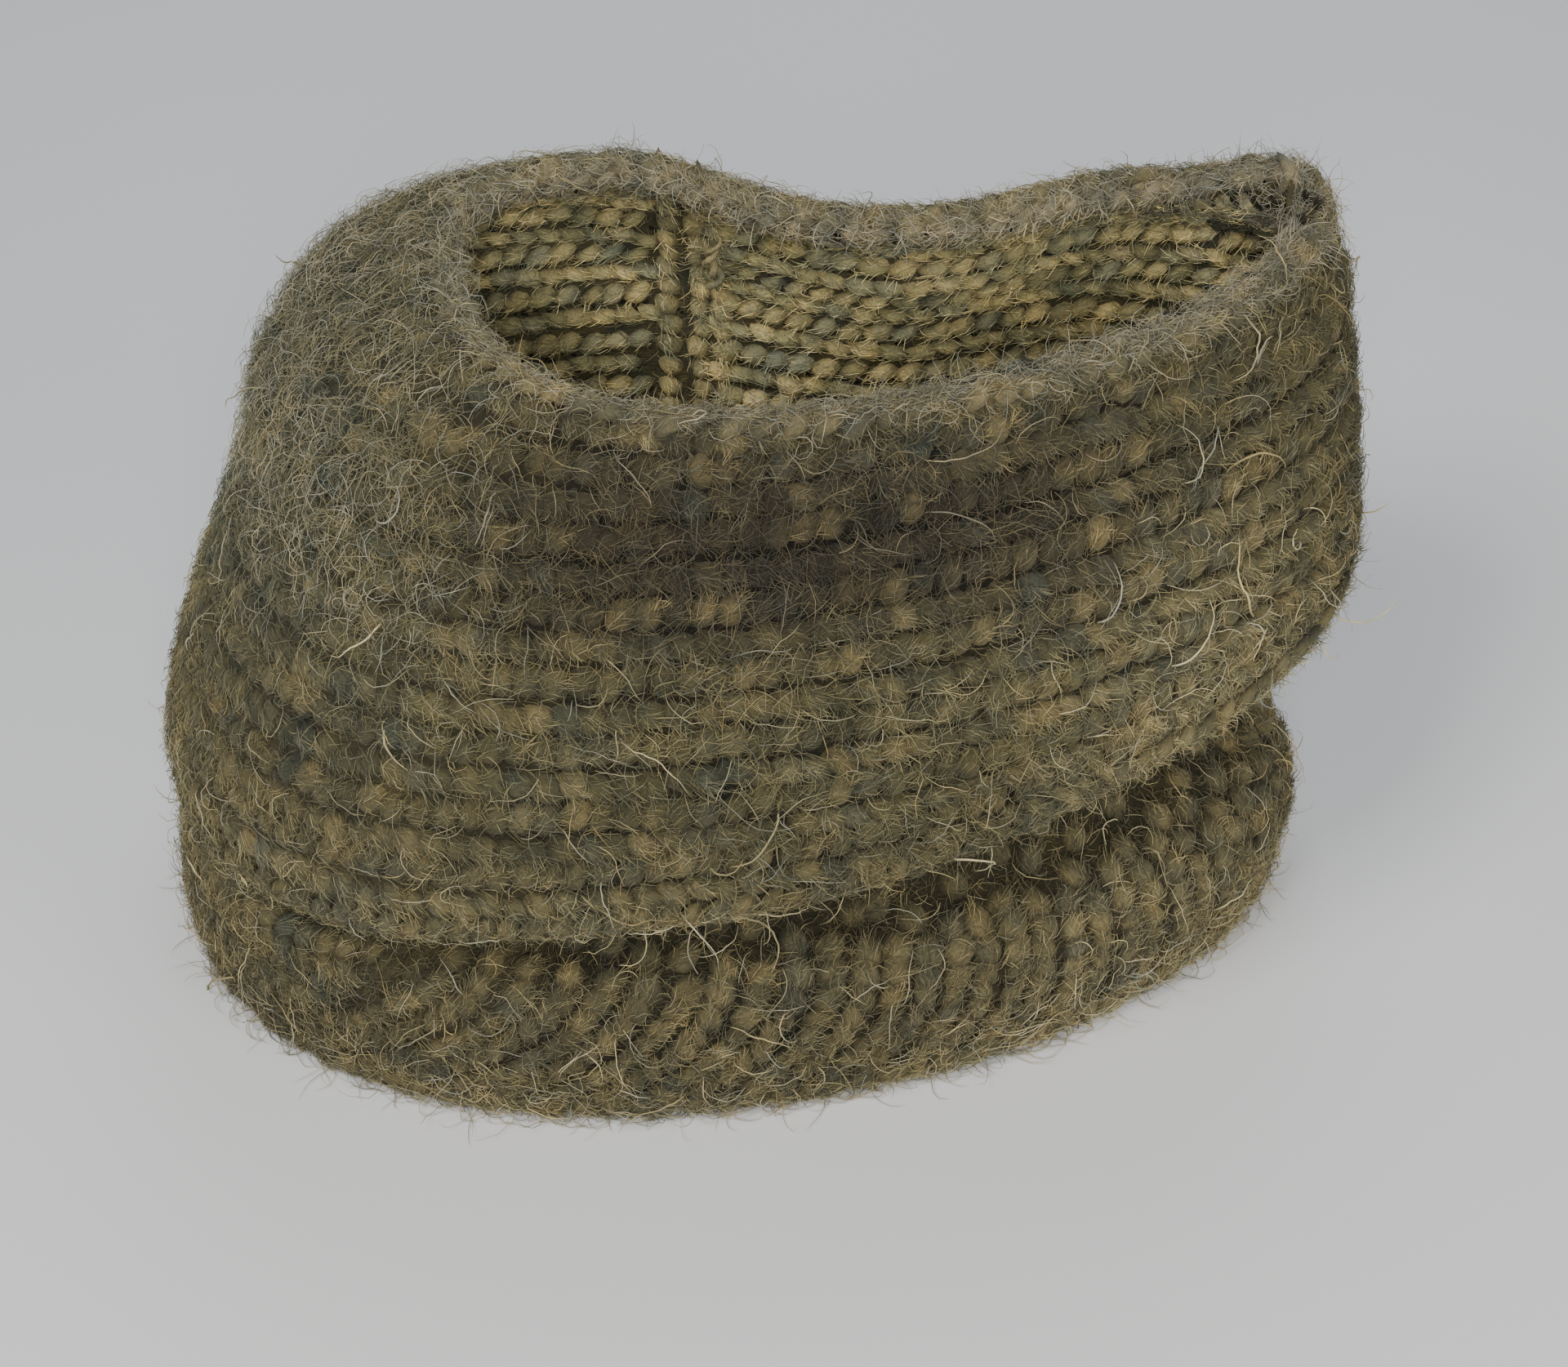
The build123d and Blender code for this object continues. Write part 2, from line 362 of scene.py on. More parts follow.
def legs(way, turn, heading, length, width, sink, rings=7, sides=8):
    """Leaf-shaped legs of stitches: points, faces, grain, and how much light reaches a point."""
    n = len(way)
    length, width, sink = (np.broadcast_to(v, n)[:, None, None] for v in (length, width, sink))
    t = np.linspace(-1, 1, rings + 2)[1:-1]
    full = (1 - t**2) ** 0.8
    angle = np.arange(sides) * math.tau / sides
    body = np.stack(np.meshgrid(t, angle, indexing="ij"), -1)
    tt, aa = body[..., 0], body[..., 1]
    swell = np.repeat(full[:, None], sides, 1)
    ply = 1 + 0.10 * np.cos(2 * aa + 3.0 * tt)
    side_way = swell * ply * np.cos(aa) * width / 2 + 0.08 * length * tt * (1 - tt**2)
    height = swell * ply * np.sin(aa) * 0.42 - (0.42 - 0.12 * tt + 0.75 * sink * tt**2)
    height = height * width
    ahead = tt * length / 2 + 0 * side_way
    poles = np.array([-1.0, 1.0])
    pole_ahead = np.broadcast_to(poles[None] * length[:, 0] / 2 * 1.02, (n, 2))
    pole_height = -width[:, 0] * (0.42 - 0.12 * poles[None] + 0.75 * sink[:, 0])
    ahead = np.concatenate([ahead.reshape(n, -1), pole_ahead], 1)[..., None]
    side_way = np.concatenate([side_way.reshape(n, -1), np.zeros((n, 2))], 1)[..., None]
    height = np.concatenate([height.reshape(n, -1), pole_height], 1)[..., None]
    along, climb, out = (v[:, None] for v in frame_at(way, turn))
    c, s = np.cos(heading)[:, None, None], np.sin(heading)[:, None, None]
    points = on_wall(way, turn)[:, None] + height * out
    points = points + (ahead * c - side_way * s) * along + (ahead * s + side_way * c) * climb
    grain = np.concatenate([ahead, side_way, rng.random((n, 1, 1)) + 0 * ahead], -1)
    shade = np.clip(1 + 1.1 * (height + 0.20 * width) / width, 0.12, 1)
    each = rings * sides + 2
    faces = repeat_faces(tube_faces(rings, sides), each, n)
    return points.reshape(-1, 3), faces, grain.reshape(-1, 3), shade.reshape(-1, 1)


def jitter(n, amount):
    return rng.normal(0, amount, n)


def row_of_legs(level, inside=False):
    """Places and headings of one row of legs that runs round the tube at that level."""
    way0 = INNER - level if inside else level
    per_turn = float(np.mean(stretch(np.full(64, way0), np.arange(64) / 64)[0]))
    n = int(per_turn / STITCH)
    turn = (np.arange(n) + 0.5 * (int(level * 2) % 2)) / n
    way = np.full(n, way0) + jitter(n, 0.03)
    lean = 1 if int(round(level * 2 - 0.5)) % 2 == 0 else -1
    heading = lean * LEG_SLANT * (0.55 if inside else 1.0) + jitter(n, 0.10)
    return way, turn + jitter(n, 0.0004), heading


def crease_under(turn):
    """The crease's level at each turn."""
    known = np.arange(ROUND_STEPS) / ROUND_STEPS
    return np.interp(np.asarray(turn) % 1, known, CREASE_AT, period=1)


# the part of the collar whose rows run up at a slant, from the left end round to the back
SLANT_START = turn_at(LEFT + 0.016, True)
SLANT_END = turn_at(0.062, False)


def slanted_part(way, turn):
    """Whether a place is on the collar's part whose rows run up at a slant."""
    on_outer = way < TOP
    between = (turn % 1 > SLANT_START) & (turn % 1 < SLANT_END)
    return on_outer & between & (way < crease_under(turn) + 0.02)


def near_seam(turn, metres):
    away = np.abs((np.asarray(turn) + 0.5) % 1 - 0.5)
    return away * SEAM_GIRTH < metres


# Heading of the collar's slanted rows, by how far along their part they start.
ROW_AT = (0.0, 0.15, 0.35, 0.55, 0.75, 1.0)
ROW_HEADING = tuple(math.radians(v) for v in (40, 46, 56, 74, 88, 112))


def slanted_rows():
    """Places and headings of the legs of the collar's slanted rows, and each one's row."""
    ways, turns, heads, rows = [], [], [], []
    start, number = SLANT_START - 0.10, 0
    while start < SLANT_END + 0.02:
        share = (start - SLANT_START) / (SLANT_END - SLANT_START)
        slope = float(np.interp(share, ROW_AT, ROW_HEADING))
        reach = np.arange(0.0, ROW_REACH, ROW_STITCH) + (0.5 * ROW_STITCH if number % 2 else 0)
        climb, drift = reach * math.sin(slope), reach * math.cos(slope)
        way = -0.15 + climb / COLLAR_BAND
        turn = start + drift / COLLAR_GIRTH
        lean = 1 if number % 2 else -1
        ways.append(way)
        turns.append(turn)
        heads.append(np.full(len(way), slope + lean * LEG_SLANT * 0.62))
        rows.append(np.full(len(way), number))
        start += ROW_PITCH / math.sin(slope) / COLLAR_GIRTH
        number += 1
    way, turn, head, row = (np.concatenate(v) for v in (ways, turns, heads, rows))
    keep = slanted_part(way, turn)
    way, turn, head, row = way[keep], turn[keep], head[keep], row[keep]
    n = len(way)
    return way + jitter(n, 0.03), turn + jitter(n, 0.0005), head + jitter(n, 0.08), row


# ======== colours ========
def rgb(*values):
    return np.array(values, float)


OLIVE = rgb(0.140, 0.128, 0.070)
GOLD = rgb(0.330, 0.270, 0.140)
TAN = rgb(0.250, 0.220, 0.130)
SLATE = rgb(0.088, 0.110, 0.104)
UMBER = rgb(0.050, 0.042, 0.035)
PALE = rgb(0.50, 0.45, 0.36)
CREAM = rgb(0.58, 0.50, 0.32)
SILVER = rgb(0.40, 0.42, 0.38)


def whereabouts(points):
    """Places from the left end (-1) to the right (1), shares of the height, and 1 in front."""
    x = (points[:, 0] - MIDDLE.x) / (CAD_BOX[1].x - MIDDLE.x)
    return x, points[:, 2] / CAD_BOX[1].z, ramp(-points[:, 1], -0.01, 0.03)


def zone_colour(points):
    """The colour at points of the object: the wool's dye varies from place to place, a painted
    highlight lies on the right front below its top, and some places are darker.
    """
    x, z, front = whereabouts(points)
    base = OLIVE + (TAN - OLIVE) * (0.60 * (1 - ramp(z, 0.25, 0.60)))[:, None]
    dark = np.exp(-(((x - 0.10) / 0.55) ** 4) - ((z - 0.81) / 0.13) ** 2) * front
    cool = ramp(-x, 0.30, 0.80) * ramp(z, 0.30, 0.70)
    base = base + (SLATE - base) * (0.45 * cool)[:, None]
    # painted highlight: the right front, below its top, is lighter and more tan
    painted_highlight = ramp(x, 0.25, 0.75) * front * (1 - ramp(z, 0.68, 0.88))
    base = base + (TAN * 1.25 - base) * (0.55 * painted_highlight)[:, None]
    u, v, w = (points * 190).T
    patch = np.sin(u + 1.3 * np.sin(0.7 * v + 1)) * np.sin(1.4 * w + 0.8 * np.sin(0.9 * u)) * 0.6
    patch = patch + 0.4 * np.sin(2.3 * u - 1.7 * w + 2 * np.sin(1.1 * v))
    base = base + (SLATE - base) * (0.42 * ramp(patch, 0.1, 0.9))[:, None]
    base = base + (GOLD * 0.8 - base) * (0.30 * ramp(-patch, 0.1, 0.9))[:, None]
    base = base + (UMBER * 0.85 - base) * (0.92 * dark)[:, None]
    # a little darker above the lip, along the bottom edge, and at the upper right
    belt = np.exp(-(((z - 0.46) / 0.11) ** 2)) * front * (1 - ramp(x, 0.3, 0.7))
    foot = (1 - ramp(z, 0.12, 0.30)) * (1 - ramp(x, 0.15, 0.60))
    dull = ramp(x, 0.35, 0.75) * np.maximum(ramp(z, 0.80, 0.92), 1 - front)
    return base * (1 - 0.22 * belt - 0.26 * foot - 0.20 * dull)[:, None]


def mix(base, other, share):
    return base + (other - base) * np.asarray(share)[:, None]


def stitch_tint(points, each, gold=0.25):
    """A colour for each point of a set of stitches, which differs a little between stitches."""
    n = len(points) // each
    middle = points.reshape(n, each, 3).mean(1)
    colour = zone_colour(middle)
    pick = rng.random(n)
    colour = mix(colour, GOLD, np.where(pick < gold, rng.uniform(0.1, 0.5, n), 0))
    colour = mix(colour, SLATE, np.where(pick > 0.88, rng.uniform(0.1, 0.4, n), 0))
    colour = colour * rng.uniform(0.86, 1.16, n)[:, None]
    return np.repeat(colour, each, axis=0)


def wool(name, streak=0.55, bump=0.6, sheen=0.35, value=1.0):
    """Heathered wool: its tint broken up by fine streaks along the yarn and soft patches."""
    material = bpy.data.materials.new(name)
    material.use_nodes = True
    nodes, links = material.node_tree.nodes, material.node_tree.links
    shader = nodes["Principled BSDF"]
    shader.inputs["Roughness"].default_value = 0.92
    shader.inputs["Sheen Weight"].default_value = sheen
    shader.inputs["Sheen Roughness"].default_value = 0.45
    shader.inputs["Sheen Tint"].default_value = (0.75, 0.68, 0.50, 1)
    shader.inputs["Specular IOR Level"].default_value = 0.25
    tint = nodes.new("ShaderNodeAttribute")
    tint.attribute_name = "tint"
    place = nodes.new("ShaderNodeTexCoord")
    grain = nodes.new("ShaderNodeAttribute")
    grain.attribute_name = "grain"
    squeeze = nodes.new("ShaderNodeVectorMath")
    squeeze.operation = "MULTIPLY"
    squeeze.inputs[1].default_value = (260, 2600, 30)
    links.new(grain.outputs["Vector"], squeeze.inputs[0])
    fine = nodes.new("ShaderNodeTexNoise")
    fine.inputs["Scale"].default_value = 1.0
    fine.inputs["Detail"].default_value = 3.0
    links.new(squeeze.outputs[0], fine.inputs["Vector"])
    speck = nodes.new("ShaderNodeTexNoise")
    speck.inputs["Scale"].default_value = 1700
    speck.inputs["Detail"].default_value = 2.0
    links.new(place.outputs["Object"], speck.inputs["Vector"])
    patch = nodes.new("ShaderNodeTexNoise")
    patch.inputs["Scale"].default_value = 160
    patch.inputs["Detail"].default_value = 4.0
    links.new(place.outputs["Object"], patch.inputs["Vector"])
    heather = nodes.new("ShaderNodeValToRGB")
    stops = heather.color_ramp.elements
    stops[0].position, stops[0].color = 0.28, (0.38, 0.42, 0.50, 1)
    stops[1].position, stops[1].color = 0.74, (1.9, 1.65, 1.15, 1)
    middle = stops.new(0.50)
    middle.color = (0.92, 0.95, 0.90, 1)
    both = nodes.new("ShaderNodeMath")
    both.operation = "ADD"
    links.new(fine.outputs["Fac"], both.inputs[0])
    links.new(speck.outputs["Fac"], both.inputs[1])
    half = nodes.new("ShaderNodeMath")
    half.operation = "MULTIPLY"
    half.inputs[1].default_value = 0.5
    links.new(both.outputs[0], half.inputs[0])
    links.new(half.outputs[0], heather.inputs["Fac"])
    tones = nodes.new("ShaderNodeValToRGB")
    low, high = tones.color_ramp.elements
    low.position, low.color = 0.30, (0.62 * value, 0.68 * value, 0.72 * value, 1)
    high.position, high.color = 0.70, (1.30 * value, 1.22 * value, 1.05 * value, 1)
    links.new(patch.outputs["Fac"], tones.inputs["Fac"])
    first = nodes.new("ShaderNodeMix")
    first.data_type, first.blend_type = "RGBA", "MULTIPLY"
    first.inputs["Factor"].default_value = streak
    links.new(tint.outputs["Color"], first.inputs["A"])
    links.new(heather.outputs["Color"], first.inputs["B"])
    second = nodes.new("ShaderNodeMix")
    second.data_type, second.blend_type = "RGBA", "MULTIPLY"
    second.inputs["Factor"].default_value = 1.0
    links.new(first.outputs["Result"], second.inputs["A"])
    links.new(tones.outputs["Color"], second.inputs["B"])
    links.new(second.outputs["Result"], shader.inputs["Base Color"])
    if bump:
        raised = nodes.new("ShaderNodeBump")
        raised.inputs["Strength"].default_value = bump
        raised.inputs["Distance"].default_value = 0.0006
        links.new(both.outputs[0], raised.inputs["Height"])
        links.new(raised.outputs["Normal"], shader.inputs["Normal"])
    return material


YARN = wool("wool_yarn", sheen=0.15)
# the core's wool is painted dark, as shade between the stitches
SHADED_CORE_WOOL = wool("wool_core_painted_shade", bump=0.8, sheen=0.10, value=0.14)
HAIR = wool("wool_fibres", streak=0.35, bump=0, sheen=0.12)


def bend(obj):
    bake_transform(obj)


# ======== the core ========
def make_core():
    """The close inside of the fabric, which shows between the stitches, painted dark as the shade
    in the gaps.
    """
    rows, columns = LAP * 6, 360
    way, turn = np.meshgrid(np.arange(rows) / 6, np.arange(columns) / columns, indexing="ij")
    wander = 0.0003 * np.sin(way * 12.6) + jitter(way.size, 0.00012).reshape(way.shape)
    points = on_wall(way, turn, wander - CORE_DEPTH)
    points[..., 2] = np.maximum(points[..., 2], 0.0004)
    r, c = np.meshgrid(np.arange(rows), np.arange(columns), indexing="ij")
    r1, c1 = (r + 1) % rows, (c + 1) % columns
    a, b, d, e = (i * columns + j for i, j in ((r, c), (r, c1), (r1, c1), (r1, c)))
    faces = np.stack([a, b, d, e], -1).reshape(-1, 4)
    flat = points.reshape(-1, 3)
    # paler on the rim and the inner face as painted light, and paler where the fold begins at the
    # left end
    inside = (way.ravel() > TOP + 0.1) * 1.0
    beside = 1 - ramp(flat[:, 0], LEFT + 0.050, LEFT + 0.085)
    tint = zone_colour(flat) * (1 + 2.6 * inside + 1.6 * beside * (1 - inside))[:, None]
    grain = np.stack([turn * 0.5, way * 0.01, 0 * way], -1).reshape(-1, 3)
    return make_mesh("fabric_core", flat, faces, SHADED_CORE_WOOL, tint, grain)


# ======== the knitted rows ========
def joined(parts):
    """Several sets of points, faces, grain and tint as one."""
    points, faces, grain, tint, count = [], [], [], [], 0
    for p, f, g, colour in parts:
        points.append(p)
        faces.append(f + count)
        grain.append(g)
        tint.append(colour)
        count += len(p)
    return (np.concatenate(v) for v in (points, faces, grain, tint))


combed = {"collar": [], "lip": [], "lower": [], "upper": [], "inside": []}


def stretch_name(number):
    """The stretch of the outer face that a band belongs to."""
    return ("collar", "lip", "lower", "upper")[int(np.searchsorted((3.5, 6.5, 9.5), number))]


def grow(
    way, turn, heading, length, width, gold, where, hairs, rings=7, sides=8, pale=0.0, painted_light_gain=1.0
):
    """Legs with their colours. Their combed fibres, in the same colours, go on a list."""
    # no legs where the wall is bent too tightly to hold them
    tight = (way > TOP + 0.3) & (stretch(way, turn)[0] < 0.30)
    way, turn, heading = way[~tight], turn[~tight], heading[~tight]
    n, each = len(way), rings * sides + 2
    per_turn, per_band = stretch(way, turn)
    inner = way > TOP + 1
    level = np.where(inner, INNER - way, way)
    near_fold = np.exp(-(((level - CREASE - 0.5) / 1.1) ** 2))
    plain = (way > 0) & (way < TOP) | inner
    room = np.clip(per_band * 0.5 / FULL_BAND, 0.9, 1.45) ** (1 - near_fold)
    room = np.where(plain, room, 1)
    size = rng.normal(1, 0.07, n)
    long = length * size * room**0.5 * (1 - np.where(inner, 0.40, 0.25) * near_fold)
    long = long * np.where(way > TOP + 1.2, np.clip(per_turn / 0.40, 0.70, 1), 1)
    wide = width * size * room
    sink = 1 - np.where(inner, 1.0, 0.55) * near_fold
    points, faces, grain, shade = legs(way, turn, heading, long, wide, sink, rings, sides)
    # painted light: the legs' colour is scaled, most on the inner face, where less light reaches
    tint = stitch_tint(points, each, gold) * painted_light_gain
    tint = tint + (PALE - tint) * pale
    # painted shade: stitches along the crease of the fold are darkened, down to half their colour
    painted_crease_shade = np.exp(-(((way - crease_under(turn) + 0.05) / 0.40) ** 2)) * (way < TOP)
    tint = tint * np.repeat(1 - 0.50 * painted_crease_shade, each)[:, None]
    leg = (way, turn, heading, long, wide, tint[::each])
    combed[where].append(comb(*leg, length, width, hairs, painted_light_gain))
    # painted shade: each leg is darker on its lower flanks and at its ends, less so on the pale
    # edge rows, and darker as a whole than its fibres
    return points, faces, grain, tint * shade ** (0.35 if pale else 1) * LEG_PAINTED_SHADE


def comb(way, turn, heading, long, wide, tint, length, width, hairs, painted_light_gain):
    """Fibres that lie on some legs: their places and headings, how deep they start, their looks."""
    m = len(way) * hairs
    per_turn, per_band = stretch(way, turn)
    ahead = rng.uniform(-0.45, 0.30, m) * np.repeat(long, hairs)
    across = rng.triangular(-0.46, 0, 0.46, m)
    side_way = across * np.repeat(wide, hairs)
    c, s = np.repeat(np.cos(heading), hairs), np.repeat(np.sin(heading), hairs)
    d_turn = (ahead * c - side_way * s) / np.repeat(per_turn, hairs)
    d_way = (ahead * s + side_way * c) / np.repeat(per_band, hairs)
    places = np.repeat(way, hairs) + d_way, np.repeat(turn, hairs) + d_turn
    start = -0.0002 - 1.4 * side_way**2 / width - 45 * ahead**2 * (0.3 + (ahead < 0))
    look = np.repeat(tint, hairs, axis=0) * rng.uniform(0.45, 2.0, m)[:, None]
    # painted shade: fibres at a leg's flanks and near its tail are darker
    look = look * (1 - 2.6 * across**2 - 0.5 * (ahead < -0.28 * length))[:, None]
    pick = rng.random(m)[:, None]
    dim = painted_light_gain * np.clip(look.mean(1, keepdims=True) / 0.14, 0.25, 1)
    look = np.where(pick < 0.10, 0.45 * CREAM * dim + 0.4 * look, look)
    look = np.where(pick > 0.90, 0.60 * SLATE * dim + 0.4 * look, look)
    return *places, np.repeat(heading, hairs), start, look


def band_stitches(number):
    """The two rows of legs of one band on the outer face, and its two rows on the inner face."""
    parts = []
    for half in (0.25, 0.75):
        level = number + half
        way, turn, heading = row_of_legs(level)
        in_front = on_wall(way, turn)[:, 1] < BACK_OF_FOLD
        under_lip = (abs(level - CREASE - 0.25) < 0.1) & in_front
        keep = ~slanted_part(way, turn) & ~near_seam(turn, 0.0022) & ~under_lip
        place = (v[keep] for v in (way, turn, heading))
        parts.append(grow(*place, LEG_LENGTH, LEG_WIDTH, 0.25, stretch_name(number), 38, painted_light_gain=0.90))
        way, turn, heading = row_of_legs(level, inside=True)
        in_front = on_wall(way, turn)[:, 1] < BACK_OF_FOLD
        at_fold = (abs(level - CREASE - 0.6) < 1.8) & in_front
        keep = ~near_seam(turn, 0.0066) & ~at_fold
        place = (v[keep] for v in (way, turn, heading))
        hairs = 22 if number >= CREASE + 1 else 2
        # the inner face's legs are painted 3.4 times lighter, as painted light
        parts.append(grow(*place, *INNER_LEG, 0.5, "inside", hairs, 5, 6, painted_light_gain=3.4))
    return parts


def make_bands(slanted):
    made = []
    way, turn, heading, row = slanted
    quarter = np.minimum((row - row.min()) * 4 // (np.ptp(row) + 1), 3)
    for number, band in enumerate(BANDS):
        parts = band_stitches(number)
        if number < CREASE:
            place = (v[quarter == number] for v in (way, turn, heading))
            parts.append(grow(*place, LEG_LENGTH, LEG_WIDTH * 1.05, 0.40, "collar", 38, painted_light_gain=0.85))
        points, faces, grain, tint = joined(parts)
        points[:, 2] = np.maximum(points[:, 2], 0.0004)
        obj = make_mesh(f"stitches_{band}", points, faces, YARN, tint, grain)
        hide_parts(band)
        made.append((obj, number))
    return made


def edge_rows(name, ways, node, pale, where):
    """Rows of thick legs round a free edge of the strip."""
    parts = []
    for number, (way0, slant, length, width) in enumerate(ways):
        per_turn = float(np.mean(stretch(np.full(64, way0), np.arange(64) / 64)[0]))
        n = int(per_turn / (length * 0.60))
        turn = (np.arange(n) + 0.5 * (number % 2)) / n
        way, heading = np.full(n, way0) + jitter(n, 0.03), slant + jitter(n, 0.12)
        leg = (way, turn, heading, length, width)
        parts.append(grow(*leg, 0.6, where, 34, pale=pale[number], painted_light_gain=1.05))
    points, faces, grain, tint = joined(parts)
    points[:, 2] = np.maximum(points[:, 2], 0.0004)
    obj = make_mesh(name, points, faces, YARN, tint, grain)
    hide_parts(node)
    return obj


# ======== loose fibres ========
def fibres(
    way, turn, segments, length, radius, curl, lift, start=-0.0012, rough=0.5, sides=3, heading=None
):
    """Tapered hairs that start under the stitches and curl away, in any direction or their own."""
    n = len(way)
    length, radius, curl, lift = (np.broadcast_to(v, n) for v in (length, radius, curl, lift))
    root = on_wall(way, turn, np.broadcast_to(start, n))
    first = rng.uniform(0, math.tau, n) if heading is None else heading
    ahead, across, out = frame_at(way, turn)
    k = segments
    bend_by = curl[:, None] / k + jitter(n * k, rough / k).reshape(n, k)
    aim = (first[:, None] + np.cumsum(bend_by, axis=1))[..., None]
    t = (np.arange(k) + 0.5) / k
    rise = (lift[:, None] * (1 - 1.7 * t) + jitter(n * k, 0.20).reshape(n, k))[..., None]
    level_step = np.cos(aim) * ahead[:, None] + np.sin(aim) * across[:, None]
    step = (length / k)[:, None, None] * (np.cos(rise) * level_step + np.sin(rise) * out[:, None])
    path = np.concatenate([root[:, None], root[:, None] + np.cumsum(step, axis=1)], axis=1)
    return tubes(path, radius, sides)


def tubes(path, radius, sides=3):
    """Closed thin tubes along paths of points, thick in the middle and fine at the tip."""
    n, k1 = path.shape[:2]
    path[..., 2] = np.maximum(path[..., 2], 0.0005)
    along = np.gradient(path, axis=1)
    along = along / np.maximum(np.linalg.norm(along, axis=-1, keepdims=True), 1e-9)
    guide = np.array([0.31, -0.47, 0.83])
    side = np.cross(along, guide)
    side = side / np.maximum(np.linalg.norm(side, axis=-1, keepdims=True), 1e-9)
    other = np.cross(along, side)
    t = np.linspace(0, 1, k1)
    taper = np.maximum(0.75 + 0.45 * t - 1.0 * t**2, 0.18)
    inner = path[:, :-1]
    angle = np.arange(sides) * math.tau / sides
    size = (np.asarray(radius)[:, None] * taper[None, :-1])[..., None, None]
    ring = inner[:, :, None] + size * (
        np.cos(angle)[:, None] * side[:, :-1, None] + np.sin(angle)[:, None] * other[:, :-1, None]
    )
    foot = path[:, 0] - along[:, 0] * np.asarray(radius)[:, None]
    points = np.concatenate([ring.reshape(n, -1, 3), foot[:, None], path[:, -1:]], axis=1)
    points[..., 2] = np.maximum(points[..., 2], 0.0003)
    each = points.shape[1]
    faces = repeat_faces(tube_faces(k1 - 1, sides), each, n)
    return points.reshape(-1, 3), faces, each


def fibre_tint(points, each, recipe, zone=0.5):
    """A colour for each fibre: one of the recipe's wools, mixed with its place's own colour."""
    n = len(points) // each
    shares = np.array([share for _, share in recipe], float)
    colours = np.array([colour for colour, _ in recipe])
    pick = rng.choice(len(recipe), n, p=shares / shares.sum())
    own = zone_colour(points.reshape(n, each, 3)[:, 0])
    dim = np.clip(own.mean(1, keepdims=True) / 0.14, 0.3, 1)
    colour = colours[pick] * dim * (1 - zone) + own * 1.5 * zone
    colour = colour * rng.uniform(0.7, 1.35, n)[:, None]
    return np.repeat(colour, each, axis=0)


def fibre_mesh(name, points, faces, each, tint):
    """One piece of many fibres, each with a grain of its own."""
    n = len(points) // each
    grain = np.tile(np.arange(each) * 0.001, n)
    grain = np.stack([grain, 0 * grain, np.repeat(rng.random(n), each)], -1)
    return make_mesh(name, points, faces, HAIR, tint, grain)


def hair(name, made, recipe, zone=0.5):
    """One piece of many fibres in the recipe's colours."""
    points, faces, each = made
    tint = fibre_tint(points, each, recipe, zone)
    return fibre_mesh(name, points, faces, each, tint)


# colours of loose fibres, each with its share
MIXED = [
    (TAN * 1.3, 3), (GOLD * 1.3, 2), (SLATE * 1.5, 2), (OLIVE * 1.2, 2), (PALE, 1), (SILVER, 0.7)
]
BRIGHT = [(CREAM, 4), (PALE, 2), (SILVER, 1), (GOLD * 1.6, 1.5)]
HAZE = [(PALE, 4), (SILVER, 2), (TAN * 1.5, 1)]
# darkened wools for the fuzz inside the fold: painted shade
SHADED = [(TAN * 0.5, 2), (OLIVE * 0.5, 2), (UMBER, 2)]


def scattered(n, low, high):
    return rng.uniform(low, high, n), rng.random(n)


def matted(way, turn):
    """How matted the surface is at a place: most at the upper left and in the front's middle."""
    x, z, front = whereabouts(on_wall(way, turn))
    shoulder = ramp(-x, 0.25, 0.65) * ramp(z, 0.45, 0.75)
    middle = np.exp(-(((x - 0.05) / 0.5) ** 2) - ((z - 0.68) / 0.24) ** 2) * front
    return np.clip(shoulder + middle, 0, 1)


def make_halo():
    """The short, dense fuzz all over both faces, in one piece for each stretch of the wall."""
    made = []
    stretches = [
        ("fuzz_collar", -0.3, 4.0, 8500, "wool_collar"),
        ("fuzz_lip", 4.3, 7.5, 6500, "wool_tube"),
        ("fuzz_lower", 7.5, 10.5, 9000, "wool_tube"),
        ("fuzz_upper", 10.5, 13.3, 17000, "wool_tube"),
        ("fuzz_inside", 14.2, 26.5, 7500, "wool_tube"),
    ]
    for name, low, high, n, slot in stretches:
        way, turn = scattered(n, low, high)
        dense = 0.30 + 0.70 * matted(way, turn) + 0.5 * (high < 7.6) + (low > TOP)
        keep = rng.random(n) < dense
        way, turn = way[keep], turn[keep]
        n = len(way)
        length = rng.uniform(0.0030, 0.0075, n) * (1 + 0.5 * matted(way, turn))
        radius = rng.uniform(0.00005, 0.00009, n)
        form = fibres(way, turn, 4, length, radius, rng.normal(0, 2.0, n), rng.uniform(0.3, 1.2, n))
        obj = hair(name, form, MIXED)
        made.append((obj, low, high))
    return made


def make_frost():
    """The long pale fuzz on the upper left shoulder."""
    n = 9000
    way, turn = scattered(n, 9.5, 13.4)
    x, z, _ = whereabouts(on_wall(way, turn))
    keep = rng.random(n) < ramp(-x, 0.25, 0.70) * ramp(z, 0.55, 0.85)
    way, turn = way[keep], turn[keep]
    n = len(way)
    form = fibres(
        way, turn, 6, rng.uniform(0.005, 0.012, n), rng.uniform(0.00006, 0.00011, n),
        rng.normal(0, 2.2, n), rng.uniform(0.4, 1.2, n), rough=1.0,
    )
    return hair("frost", form, HAZE, 0.10)


def make_fold_fuzz():
    """Short fuzz on the wall inside the fold, which shows when the fold is opened; its colours are
    painted dark as the fold's shade.
    """
    n = 22000
    turn = rng.random(n)
    way = crease_under(turn) + rng.uniform(-1.3, 1.0, n)
    keep = on_wall(way, turn)[:, 1] < 0.03
    way, turn = way[keep], turn[keep]
    n = len(way)
    form = fibres(
        way, turn, 3, rng.uniform(0.0020, 0.0048, n), rng.uniform(0.00008, 0.00014, n),
        rng.normal(0, 1.4, n), rng.uniform(0.1, 0.5, n), -0.0019,
    )
    return hair("fuzz_fold", form, SHADED, 0.15)


